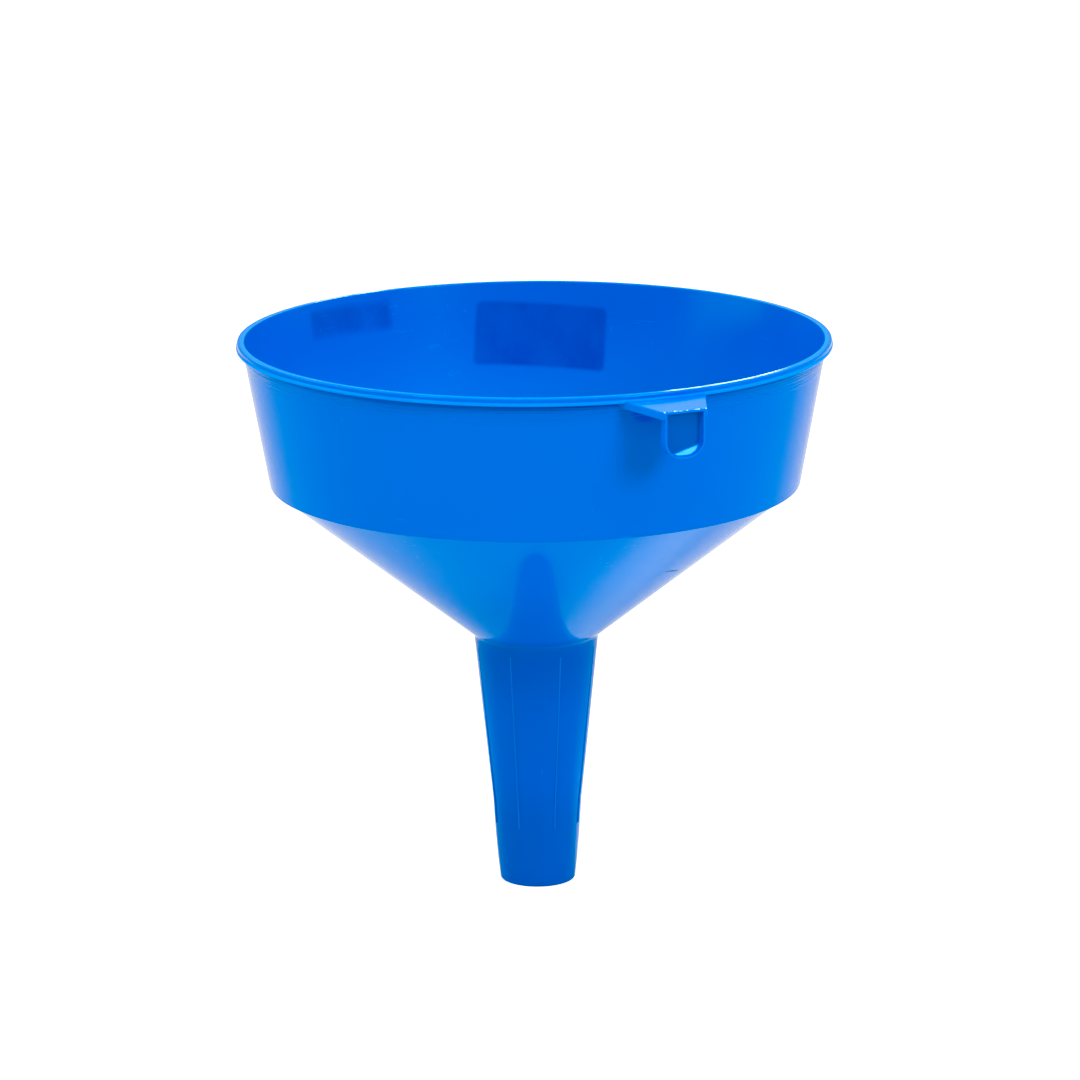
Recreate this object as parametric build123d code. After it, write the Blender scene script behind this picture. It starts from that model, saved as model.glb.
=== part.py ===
from build123d import *
import math
import os

os.makedirs("parts", exist_ok=True)

# ---------------------------------------------------------------------------
# Wide-mouth fluid funnel, one plastic moulding with two blank stickers.
# Millimetres. +Z runs up the funnel's axis. The origin is the centre of the
# outlet at the very end of the spout, so the spout end lies on z = 0.
# -Y is the side that the hanging hook is nearest to.
# The moulding is divided at its own creases into rim, wall, cone, spout,
# spout tip, ribs and hook, which meet face to face with no overlap.
# ---------------------------------------------------------------------------

TOTAL_H = 236.8        # spout end to the top of the rim
WALL_T = 1.4           # nominal wall thickness, square to the surface

RIM_R = 125.0          # rim bead, outside radius
RIM_IN_R = 121.4       # mouth radius at the very top
BEAD_H = 3.3           # height of the bead band
BEAD_FILLET_TOP = 1.0
BEAD_FILLET_LOW = 0.8
BEAD_FILLET_IN = 0.5

WALL_TAPER = 0.1792    # radius lost per mm of height, upper wall
WALL_TOP_R = 122.2     # outside radius just under the bead
STEP_Z = 175.2         # height of the small step between wall and cone
STEP_IN_R = 110.0      # cone's outside radius where it leaves the step
WALL_LOW_FILLET = 0.6

JUNCTION_Z = 108.72    # cone meets spout, outside surface
CONE_SPLIT_Z = 105.0   # lower end of the cone's short throat collar
THROAT_FILLET_OUT = 3.0
THROAT_FILLET_IN = 4.0
SHOULDER_FILLET_IN = 3.0

# spout outside radius at heights; straight in between
SPOUT_PROFILE = [(105.0, 26.104), (36.0, 18.95), (20.0, 17.95), (9.0, 16.95), (1.2, 16.05)]
SPOUT_TIP_Z = 36.0     # the taper eases here: tube above, tip below
TIP_FILLET_OUT = 1.0
TIP_FILLET_IN = 0.1

RIB_AZ = [24.0, 70.0, 110.0, 156.0]   # each side of RIB_AZ_MID
RIB_AZ_MID = -1.1
RIB_W = 0.85
RIB_LOW_Z = 26.0       # ribs stop square here
RIB_TOP_Z = 104.2
RIB_H_LOW = 0.55       # stand-off at the lower end
RIB_H_TOP = 0.15

HOOK_AZ = 24.85        # azimuth of the hook, from -Y towards +X
HOOK_ROOT_R = 124.0
HOOK_OUT_R = 141.5     # outer face of the tab
HOOK_TAB_T = 4.0
HOOK_ROOT_HALF = 17.7
HOOK_END_HALF = 9.7
HOOK_TAB_HALF = 8.9
HOOK_TAB_CORNER = 7.6
HOOK_ROOT_DROP = 2.4   # arm's top below the rim's top, at the root
HOOK_END_DROP = 4.3    # and at the outer end
HOOK_ARM_T = 3.2
HOOK_TAB_LOW_Z = TOTAL_H - 24.0
HOOK_BORDER = 1.25
HOOK_POCKET_D = 2.9
HOOK_TOP_BORDER = 1.0
HOOK_CORE_D = 1.6      # relief under the arm

LABEL_T = 0.15
BACK_LABEL = dict(az=178.7, z=213.6, w=57.6, h=27.4, tilt=3.3, r=2.6)
SIDE_LABEL = dict(az=-137.3, z=226.9, w=45.0, h=11.8, tilt=0.6, r=2.0)


# ---- profile helpers ------------------------------------------------------
def wall_out(z):
    return WALL_TOP_R - WALL_TAPER * (TOTAL_H - BEAD_H - z)


def wall_in(z):
    return RIM_IN_R - WALL_TAPER * (TOTAL_H - z)


def spout_out(z):
    pts = SPOUT_PROFILE
    if z >= pts[0][0]:
        (z0, r0), (z1, r1) = pts[1], pts[0]
        return r1 + (r1 - r0) / (z1 - z0) * (z - z1)
    for (z1, r1), (z0, r0) in zip(pts, pts[1:]):
        if z >= z0:
            return r0 + (r1 - r0) * (z - z0) / (z1 - z0)
    (z1, r1), (z0, r0) = pts[-2], pts[-1]
    return r0 + (r1 - r0) * (z - z0) / (z1 - z0)


def meet(p, u, q, v):
    """Crossing point of two lines, each a point and a direction."""
    det = u[0] * -v[1] + v[0] * u[1]
    dx, dz = q[0] - p[0], q[1] - p[1]
    s = (dx * -v[1] + v[0] * dz) / det
    return (p[0] + u[0] * s, p[1] + u[1] * s)


def section(points, rounds=()):
    face = make_face(Polyline(*points, close=True))
    for (x, y), radius in rounds:
        corner = [v for v in face.vertices() if math.hypot(v.X - x, v.Y - y) < 1e-4]
        face = fillet(corner, radius)
    return face


def turned(points, rounds=()):
    return revolve(Plane.XZ * section(points, rounds), Axis.Z, 360)


# ---- key points of the section --------------------------------------------
bead_z = TOTAL_H - BEAD_H
junction = (spout_out(JUNCTION_Z), JUNCTION_Z)
step_in = (STEP_IN_R, STEP_Z)
cone_dir = (step_in[0] - junction[0], step_in[1] - junction[1])
cone_len = math.hypot(*cone_dir)
cone_n = (-cone_dir[1] / cone_len * WALL_T, cone_dir[0] / cone_len * WALL_T)
cone_in_pt = (step_in[0] + cone_n[0], step_in[1] + cone_n[1])
in_corner = meet(cone_in_pt, cone_dir, (wall_in(STEP_Z), STEP_Z), (WALL_TAPER, 1.0))
SPOUT_T = 1.41
slope_up = (SPOUT_PROFILE[0][1] - SPOUT_PROFILE[1][1]) / (SPOUT_PROFILE[0][0] - SPOUT_PROFILE[1][0])
in_junction = meet(cone_in_pt, cone_dir, (SPOUT_PROFILE[0][1] - SPOUT_T, SPOUT_PROFILE[0][0]), (slope_up, 1.0))
# seam between wall and cone, a little up the inside of the shoulder fillet
seam_in_z = in_corner[1] + 4.0
seam_in = (wall_in(seam_in_z), seam_in_z)
seam_out = (STEP_IN_R + 0.75, STEP_Z)

# ---- rim bead --------------------------------------------------------------
rim_bead = turned(
    [(wall_in(bead_z), bead_z), (RIM_R, bead_z), (RIM_R, TOTAL_H), (RIM_IN_R, TOTAL_H)],
    [((RIM_R, bead_z), BEAD_FILLET_LOW), ((RIM_R, TOTAL_H), BEAD_FILLET_TOP), ((RIM_IN_R, TOTAL_H), BEAD_FILLET_IN)],
)

# ---- upper wall: tapered band, ends in a small outside step -----------------
upper_wall = turned(
    [(wall_in(bead_z), bead_z), (wall_out(bead_z), bead_z), (wall_out(STEP_Z), STEP_Z), seam_out, seam_in],
    [((wall_out(STEP_Z), STEP_Z), WALL_LOW_FILLET)],
)

# ---- cone with its throat collar -------------------------------------------
cone = turned(
    [
        seam_out,
        seam_in,
        in_corner,
        in_junction,
        (spout_out(CONE_SPLIT_Z) - SPOUT_T, CONE_SPLIT_Z),
        (spout_out(CONE_SPLIT_Z), CONE_SPLIT_Z),
        junction,
        step_in,
    ],
    [(in_corner, SHOULDER_FILLET_IN), (in_junction, THROAT_FILLET_IN), (junction, THROAT_FILLET_OUT)],
)

# ---- spout tube and tip -----------------------------------------------------
upper_z = [z for z, _ in SPOUT_PROFILE if z >= SPOUT_TIP_Z]
lower_z = [z for z, _ in SPOUT_PROFILE if z <= SPOUT_TIP_Z] + [0.0]
spout_tube = turned([(spout_out(z), z) for z in upper_z] + [(spout_out(z) - SPOUT_T, z) for z in reversed(upper_z)])
tip_out = [(spout_out(z), z) for z in lower_z if z != 1.2]
tip_in = [(spout_out(z) - SPOUT_T, z) for z in reversed(lower_z) if z != 1.2]
spout_tip = turned(
    tip_out + tip_in,
    [((spout_out(0.0), 0.0), TIP_FILLET_OUT), ((spout_out(0.0) - SPOUT_T, 0.0), TIP_FILLET_IN)],
)

# ---- air-vent ribs along the outside of the spout ---------------------------
rib_z = [RIB_TOP_Z, SPOUT_TIP_Z, RIB_LOW_Z]


def rib_h(z):
    return RIB_H_LOW + (RIB_H_TOP - RIB_H_LOW) * (z - RIB_LOW_Z) / (RIB_TOP_Z - RIB_LOW_Z)


rib_sleeve = turned([(spout_out(z), z) for z in rib_z] + [(spout_out(z) + rib_h(z), z) for z in reversed(rib_z)])
ribs = []
for base in RIB_AZ:
    for side in (1, -1):
        slab = Pos(0, -22, 65) * Box(RIB_W, 24, 90)
        piece = rib_sleeve & (Rot(0, 0, RIB_AZ_MID + side * base) * slab)
        ribs.extend(piece.solids())
vent_ribs = Compound(children=ribs)

# ---- hanging hook: arm and tab ----------------------------------------------
# local frame: x across the hook, -y outwards, z up; turned into place at the end


def arm_top(r):
    return TOTAL_H - HOOK_ROOT_DROP - (HOOK_END_DROP - HOOK_ROOT_DROP) * (r - HOOK_ROOT_R) / (HOOK_OUT_R - HOOK_ROOT_R)


def half_at(r):
    return HOOK_ROOT_HALF + (HOOK_END_HALF - HOOK_ROOT_HALF) * (r - HOOK_ROOT_R) / (HOOK_OUT_R - HOOK_ROOT_R)


tab_in_r = HOOK_OUT_R - HOOK_TAB_T
r0 = 117.0
plan = make_face(
    Polyline((-half_at(r0), -r0), (half_at(r0), -r0), (half_at(HOOK_OUT_R), -HOOK_OUT_R), (-half_at(HOOK_OUT_R), -HOOK_OUT_R), close=True)
)
plan_prism = Pos(0, 0, 190) * extrude(plan, 60)
side = make_face(
    Polyline(
        (-r0, arm_top(r0)), (-HOOK_OUT_R, arm_top(HOOK_OUT_R)), (-HOOK_OUT_R, arm_top(HOOK_OUT_R) - HOOK_ARM_T), (-r0, arm_top(r0) - HOOK_ARM_T), close=True
    )
)
side_prism = Pos(-30, 0, 0) * extrude(Plane.YZ * side, 60)
arm = plan_prism & side_prism


def tab_outline(inset, low_extra=0.0, top=None, corner=None):
    half = HOOK_TAB_HALF - inset
    low = HOOK_TAB_LOW_Z + inset + low_extra
    top = arm_top(HOOK_OUT_R) - 1.2 if top is None else top
    corner = HOOK_TAB_CORNER - inset if corner is None else corner
    pts = [(-half, top), (half, top), (half, low), (-half, low)]
    return section(pts, [((half, low), corner), ((-half, low), corner)])


tab_face = tab_outline(0.0)
tab = Plane((0, -tab_in_r, 0), x_dir=(1, 0, 0), z_dir=(0, -1, 0)) * extrude(tab_face, HOOK_TAB_T)
hook = arm + tab
# soften the fold and the tab's outline
fold = [
    e
    for e in hook.edges()
    if abs(e.center().Y + HOOK_OUT_R) < 1e-3 and abs(e.center().Z - arm_top(HOOK_OUT_R)) < 1e-3 and e.length > 10
]
hook = fillet(fold, 0.7)
outline = [
    e
    for e in hook.edges()
    if abs(e.center().Y + HOOK_OUT_R) < 1e-3 and e.center().Z < arm_top(HOOK_OUT_R) - HOOK_ARM_T - 0.5
]
hook = fillet(outline, 0.45)
pocket_top = arm_top(HOOK_OUT_R) - HOOK_TOP_BORDER
pocket_front = tab_outline(HOOK_BORDER, top=pocket_top)
pocket_back = tab_outline(HOOK_BORDER + 0.35, low_extra=0.75, top=pocket_top - 0.3)
front_plane = Plane((0, -HOOK_OUT_R - 0.001, 0), x_dir=(1, 0, 0), z_dir=(0, -1, 0))
back_plane = Plane((0, -HOOK_OUT_R + HOOK_POCKET_D, 0), x_dir=(1, 0, 0), z_dir=(0, -1, 0))
pocket = loft([back_plane * pocket_back.face(), front_plane * pocket_front.face()])
hook = hook - pocket
# relief under the arm keeps the arm's walls even
core_in, core_out = 127.0, tab_in_r - 1.3
core = make_face(
    Polyline(
        (-half_at(core_in) + 1.4, -core_in),
        (half_at(core_in) - 1.4, -core_in),
        (half_at(core_out) - 1.4, -core_out),
        (-half_at(core_out) + 1.4, -core_out),
        close=True,
    )
)
core_side = make_face(
    Polyline(
        (-core_in, arm_top(core_in) - HOOK_ARM_T + HOOK_CORE_D),
        (-core_out, arm_top(core_out) - HOOK_ARM_T + HOOK_CORE_D),
        (-core_out, arm_top(core_out) - HOOK_ARM_T - 2),
        (-core_in, arm_top(core_in) - HOOK_ARM_T - 2),
        close=True,
    )
)
core_prism = (Pos(0, 0, 190) * extrude(core, 60)) & (Pos(-30, 0, 0) * extrude(Plane.YZ * core_side, 60))
hook = hook - core_prism
# everything inside the funnel's outside surface is trimmed away
envelope = turned(
    [
        (0, TOTAL_H + 5),
        (0, STEP_Z),
        (wall_out(STEP_Z), STEP_Z),
        (wall_out(bead_z), bead_z),
        (RIM_R, bead_z),
        (RIM_R, TOTAL_H + 5),
    ],
    [((RIM_R, bead_z), BEAD_FILLET_LOW)],
)
hook = hook - envelope
hook = max(hook.solids(), key=lambda s: s.volume)
cutter_out = Pos(0, -tab_in_r - 20, 220) * Box(60, 40, 60)
hook_tab = hook & cutter_out
hook_arm = hook - cutter_out
turn = Rot(0, 0, HOOK_AZ)
hook_arm = turn * hook_arm
hook_tab = turn * hook_tab

# ---- blank stickers on the outside of the back wall --------------------------


def sticker(az, z, w, h, tilt, r):
    a = math.radians(az)
    out = (math.sin(a), -math.cos(a), 0.0)
    across = (-out[1], out[0], 0.0)
    plane = Plane(origin=(out[0] * 95, out[1] * 95, z), x_dir=across, z_dir=out)
    stamp = plane * (Rot(0, 0, tilt) * extrude(RectangleRounded(w, h, r), 45))
    z0, z1 = z - h, min(z + h, bead_z - 0.3)
    film = turned([(wall_out(z0), z0), (wall_out(z0) + LABEL_T, z0), (wall_out(z1) + LABEL_T, z1), (wall_out(z1), z1)])
    return film & stamp


back_label = sticker(**BACK_LABEL)
side_label = sticker(**SIDE_LABEL)

nodes = {
    "rim_bead": rim_bead,
    "upper_wall": upper_wall,
    "cone": cone,
    "spout_tube": spout_tube,
    "spout_tip": spout_tip,
    "vent_ribs": vent_ribs,
    "hook_arm": hook_arm,
    "hook_tab": hook_tab,
    "back_label": back_label,
    "side_label": side_label,
}
for name, shape in nodes.items():
    shape.label = name
    export_step(shape, "parts/" + name + ".step")
    box = shape.bounding_box()
    print(name, len(shape.solids()), round(shape.volume, 1), box.min, box.max)
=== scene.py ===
import bpy, bmesh, math, random
from mathutils import Vector, Matrix, noise


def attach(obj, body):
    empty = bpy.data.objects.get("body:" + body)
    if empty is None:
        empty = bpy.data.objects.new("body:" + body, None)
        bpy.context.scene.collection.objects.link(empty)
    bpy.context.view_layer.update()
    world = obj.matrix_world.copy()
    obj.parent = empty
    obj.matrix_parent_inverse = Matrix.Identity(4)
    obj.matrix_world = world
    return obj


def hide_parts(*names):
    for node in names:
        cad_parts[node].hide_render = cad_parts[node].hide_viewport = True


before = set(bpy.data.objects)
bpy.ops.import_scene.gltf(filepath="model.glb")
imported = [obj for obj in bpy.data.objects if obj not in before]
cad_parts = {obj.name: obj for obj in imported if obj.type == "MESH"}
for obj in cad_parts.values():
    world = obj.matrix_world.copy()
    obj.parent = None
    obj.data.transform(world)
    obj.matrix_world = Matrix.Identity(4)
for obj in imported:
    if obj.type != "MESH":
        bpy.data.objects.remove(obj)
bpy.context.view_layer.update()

SEG = 512
MM = 0.001

# --------------------------------------------------------------------------
# dimensions, millimetres: the same section as the CAD model
# --------------------------------------------------------------------------
TOTAL_H = 236.8
WALL_T = 1.4
RIM_R, RIM_IN_R, BEAD_H = 125.0, 121.4, 3.3
WALL_TAPER, WALL_TOP_R = 0.1792, 122.2
STEP_Z, STEP_IN_R = 175.2, 110.0
JUNCTION_Z, CONE_SPLIT_Z = 108.72, 105.0
SPOUT_PROFILE = [(105.0, 26.104), (36.0, 18.95), (20.0, 17.95), (9.0, 16.95), (1.2, 16.05)]
SPOUT_TIP_Z, SPOUT_T = 36.0, 1.41
RIB_AZ, RIB_AZ_MID, RIB_W = [24.0, 70.0, 110.0, 156.0], -1.1, 0.85
RIB_LOW_Z, RIB_TOP_Z, RIB_H_LOW, RIB_H_TOP = 26.0, 104.2, 0.55, 0.15
HOOK_AZ, HOOK_ROOT_R, HOOK_OUT_R, HOOK_TAB_T = 24.85, 124.0, 141.5, 4.0
HOOK_ROOT_HALF, HOOK_END_HALF, HOOK_TAB_HALF, HOOK_TAB_CORNER = 17.7, 9.7, 8.9, 7.6
HOOK_ROOT_DROP, HOOK_END_DROP, HOOK_ARM_T = 2.4, 4.3, 3.2
HOOK_TAB_LOW_Z = TOTAL_H - 24.0
HOOK_BORDER, HOOK_POCKET_D, FACET_SLOPE = 0.95, 2.9, 0.42
BACK_LABEL = dict(az=178.7, z=213.6, w=57.6, h=27.4, tilt=3.3, r=2.6)
SIDE_LABEL = dict(az=-137.3, z=226.9, w=45.0, h=11.8, tilt=0.6, r=2.0)
LABEL_T = 0.15
bead_z = TOTAL_H - BEAD_H


def wall_out(z):
    return WALL_TOP_R - WALL_TAPER * (bead_z - z)


def wall_in(z):
    return RIM_IN_R - WALL_TAPER * (TOTAL_H - z)


def spout_out(z):
    p = SPOUT_PROFILE
    if z >= p[0][0]:
        (z0, r0), (z1, r1) = p[1], p[0]
        return r1 + (r1 - r0) / (z1 - z0) * (z - z1)
    for (z1, r1), (z0, r0) in zip(p, p[1:]):
        if z >= z0:
            return r0 + (r1 - r0) * (z - z0) / (z1 - z0)
    (z1, r1), (z0, r0) = p[-2], p[-1]
    return r0 + (r1 - r0) * (z - z0) / (z1 - z0)


def meet(p, u, q, v):
    det = u[0] * -v[1] + v[0] * u[1]
    dx, dz = q[0] - p[0], q[1] - p[1]
    s = (dx * -v[1] + v[0] * dz) / det
    return (p[0] + u[0] * s, p[1] + u[1] * s)


junction = (spout_out(JUNCTION_Z), JUNCTION_Z)
step_in = (STEP_IN_R, STEP_Z)
cone_dir = (step_in[0] - junction[0], step_in[1] - junction[1])
cl = math.hypot(*cone_dir)
cone_in_pt = (step_in[0] - cone_dir[1] / cl * WALL_T, step_in[1] + cone_dir[0] / cl * WALL_T)
in_corner = meet(cone_in_pt, cone_dir, (wall_in(STEP_Z), STEP_Z), (WALL_TAPER, 1.0))
slope_up = (SPOUT_PROFILE[0][1] - SPOUT_PROFILE[1][1]) / (SPOUT_PROFILE[0][0] - SPOUT_PROFILE[1][0])
in_junction = meet(cone_in_pt, cone_dir, (SPOUT_PROFILE[0][1] - SPOUT_T, SPOUT_PROFILE[0][0]), (slope_up, 1.0))
seam_in_z = in_corner[1] + 4.0
seam_in = (wall_in(seam_in_z), seam_in_z)
seam_out = (STEP_IN_R + 0.75, STEP_Z)


# --------------------------------------------------------------------------
# lathe: a closed section with rounded corners, exact normals at each corner
# --------------------------------------------------------------------------
def rounded_path(corners):
    """corners: (r, z, fillet, tag); anticlockwise seen with r right and z up.
    Returns points as (r, z, normal_in, normal_out, tag of the span that follows)."""
    n = len(corners)
    out = []
    for i in range(n):
        r, z, f, tag = corners[i]
        a, b = corners[i - 1], corners[(i + 1) % n]
        d0 = Vector((r - a[0], z - a[1])).normalized()
        d1 = Vector((b[0] - r, b[1] - z)).normalized()
        n0, n1 = Vector((d0.y, -d0.x)), Vector((d1.y, -d1.x))
        turn = math.atan2(d0.x * d1.y - d0.y * d1.x, d0.dot(d1))
        if f <= 0 or abs(turn) < math.radians(0.4):
            if abs(turn) < math.radians(12):
                m = (n0 + n1).normalized()
                out.append((r, z, m, m, tag))
            else:
                out.append((r, z, n0, n1, tag))
            continue
        t = abs(f * math.tan(turn / 2))
        p0 = Vector((r, z)) - d0 * t
        side = 1 if turn > 0 else -1
        centre = p0 - n0 * f * side
        steps = max(4, int(abs(math.degrees(turn)) / 9) + 1)
        for k in range(steps + 1):
            ang = turn * k / steps
            nn = Vector((n0.x * math.cos(ang) - n0.y * math.sin(ang), n0.x * math.sin(ang) + n0.y * math.cos(ang)))
            p = centre + nn * f * side
            out.append((p.x, p.y, nn, nn, tag))
    return out


def divided(path, longest):
    """Splits long straight spans, so that quads stay well shaped."""
    out = []
    n = len(path)
    for i in range(n):
        a, b = path[i], path[(i + 1) % n]
        out.append(a)
        gap = math.hypot(b[0] - a[0], b[1] - a[1])
        k = int(gap / longest)
        for j in range(1, k + 1):
            t = j / (k + 1)
            m = (a[3] * (1 - t) + b[2] * t).normalized()
            out.append((a[0] + (b[0] - a[0]) * t, a[1] + (b[1] - a[1]) * t, m, m, a[4]))
    return out


def lathe(name, corners, mats, longest=9.0, seg=None):
    seg = seg or SEG
    path = divided(rounded_path(corners), longest)
    n = len(path)
    verts, faces, mat_ids, normals = [], [], [], []
    cs = [(math.sin(2 * math.pi * k / seg), -math.cos(2 * math.pi * k / seg)) for k in range(seg)]
    for k in range(seg):
        s, c = cs[k]
        for r, z, *_ in path:
            verts.append((r * s * MM, r * c * MM, z * MM))
    for k in range(seg):
        k2 = (k + 1) % seg
        for i in range(n):
            j = (i + 1) % n
            faces.append((k * n + i, k2 * n + i, k2 * n + j, k * n + j))
            mat_ids.append(path[i][4])
            for kk, ni in ((k, path[i][3]), (k2, path[i][3]), (k2, path[j][2]), (k, path[j][2])):
                normals.append((ni.x * cs[kk][0], ni.x * cs[kk][1], ni.y))
    me = bpy.data.meshes.new(name)
    me.from_pydata(verts, [], faces)
    me.update()
    for m in mats:
        me.materials.append(m)
    me.polygons.foreach_set("material_index", mat_ids)
    me.polygons.foreach_set("use_smooth", [True] * len(faces))
    # which way the faces look is settled from the first face's own normal
    me.normals_split_custom_set(normals)
    ob = bpy.data.objects.new(name, me)
    bpy.context.scene.collection.objects.link(ob)
    return ob


# --------------------------------------------------------------------------
# a little arithmetic on shader sockets
# --------------------------------------------------------------------------
class Graph:
    def __init__(self, name):
        self.mat = bpy.data.materials.new(name)
        self.mat.use_nodes = True
        self.nt = self.mat.node_tree
        self.nt.nodes.clear()
        self.out = self.nt.nodes.new("ShaderNodeOutputMaterial")
        self.bsdf = self.nt.nodes.new("ShaderNodeBsdfPrincipled")
        self.nt.links.new(self.bsdf.outputs[0], self.out.inputs[0])
        self.coord = self.nt.nodes.new("ShaderNodeTexCoord").outputs["Object"]
        x = self.nt.nodes.new("ShaderNodeSeparateXYZ")
        self.nt.links.new(self.coord, x.inputs[0])
        self.x, self.y, self.z = x.outputs

    def put(self, socket, value):
        if isinstance(value, bpy.types.NodeSocket):
            self.nt.links.new(value, socket)
        else:
            socket.default_value = value

    def math(self, op, a, b=0.0, c=0.0, clamp=False):
        n = self.nt.nodes.new("ShaderNodeMath")
        n.operation = op
        n.use_clamp = clamp
        for s, v in zip(n.inputs, (a, b, c)):
            self.put(s, v)
        return n.outputs[0]

    def add(self, a, b): return self.math("ADD", a, b)
    def sub(self, a, b): return self.math("SUBTRACT", a, b)
    def mul(self, a, b): return self.math("MULTIPLY", a, b)
    def mx(self, a, b): return self.math("MAXIMUM", a, b)
    def mn(self, a, b): return self.math("MINIMUM", a, b)
    def abs(self, a): return self.math("ABSOLUTE", a)

    def ramp(self, v, lo, hi, a=0.0, b=1.0, smooth=True):
        n = self.nt.nodes.new("ShaderNodeMapRange")
        n.interpolation_type = "SMOOTHSTEP" if smooth else "LINEAR"
        n.clamp = True
        self.put(n.inputs["Value"], v)
        n.inputs["From Min"].default_value = lo
        n.inputs["From Max"].default_value = hi
        n.inputs["To Min"].default_value = a
        n.inputs["To Max"].default_value = b
        return n.outputs[0]

    def mix(self, f, a, b):
        n = self.nt.nodes.new("ShaderNodeMix")
        n.data_type = "RGBA"
        n.clamp_factor = True
        self.put(n.inputs["Factor"], f)
        self.put(n.inputs[6], a)
        self.put(n.inputs[7], b)
        return n.outputs[2]

    def vec(self, x, y, z):
        n = self.nt.nodes.new("ShaderNodeCombineXYZ")
        for s, v in zip(n.inputs, (x, y, z)):
            self.put(s, v)
        return n.outputs[0]

    def noise(self, vector, scale, detail=2.0, rough=0.5, w=None, out=0):
        n = self.nt.nodes.new("ShaderNodeTexNoise")
        if w is not None:
            n.noise_dimensions = "4D"
            n.inputs["W"].default_value = w
        self.put(n.inputs["Vector"], vector)
        n.inputs["Scale"].default_value = scale
        n.inputs["Detail"].default_value = detail
        n.inputs["Roughness"].default_value = rough
        return n.outputs[out]

    def voronoi(self, vector, scale, feature="F1", out="Distance", rand=1.0):
        n = self.nt.nodes.new("ShaderNodeTexVoronoi")
        n.feature = feature
        self.put(n.inputs["Vector"], vector)
        n.inputs["Scale"].default_value = scale
        n.inputs["Randomness"].default_value = rand
        return n.outputs[out]

    def bump(self, height, strength, distance, under=None):
        n = self.nt.nodes.new("ShaderNodeBump")
        n.inputs["Strength"].default_value = strength
        n.inputs["Distance"].default_value = distance
        self.put(n.inputs["Height"], height)
        if under is not None:
            self.put(n.inputs["Normal"], under)
        return n.outputs[0]


BLUE = (0.0, 0.122, 0.71, 1.0)


def stamp_mask(g, spec, soft):
    """1 inside a rounded rectangle that is projected outwards at spec's azimuth."""
    a = math.radians(spec["az"])
    out = (math.sin(a), -math.cos(a))
    across = (-out[1], out[0])
    u = g.add(g.mul(g.x, across[0]), g.mul(g.y, across[1]))
    v = g.sub(g.z, spec["z"] * MM)
    t = math.radians(spec["tilt"])
    # the sticker's own frame is turned by its tilt
    uu = g.add(g.mul(u, math.cos(t)), g.mul(v, math.sin(t)))
    vv = g.sub(g.mul(v, math.cos(t)), g.mul(u, math.sin(t)))
    r = spec["r"] * MM
    qx = g.sub(g.abs(uu), spec["w"] / 2 * MM - r)
    qy = g.sub(g.abs(vv), spec["h"] / 2 * MM - r)
    px, py = g.mx(qx, 0.0), g.mx(qy, 0.0)
    d = g.math("SQRT", g.add(g.mul(px, px), g.mul(py, py)))
    d = g.sub(g.add(d, g.mn(g.mx(qx, qy), 0.0)), r)
    m = g.ramp(d, -soft * MM, soft * MM, 1.0, 0.0)
    side = g.add(g.mul(g.x, out[0]), g.mul(g.y, out[1]))
    return g.mul(m, g.ramp(side, 0.0, 0.02))


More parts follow.
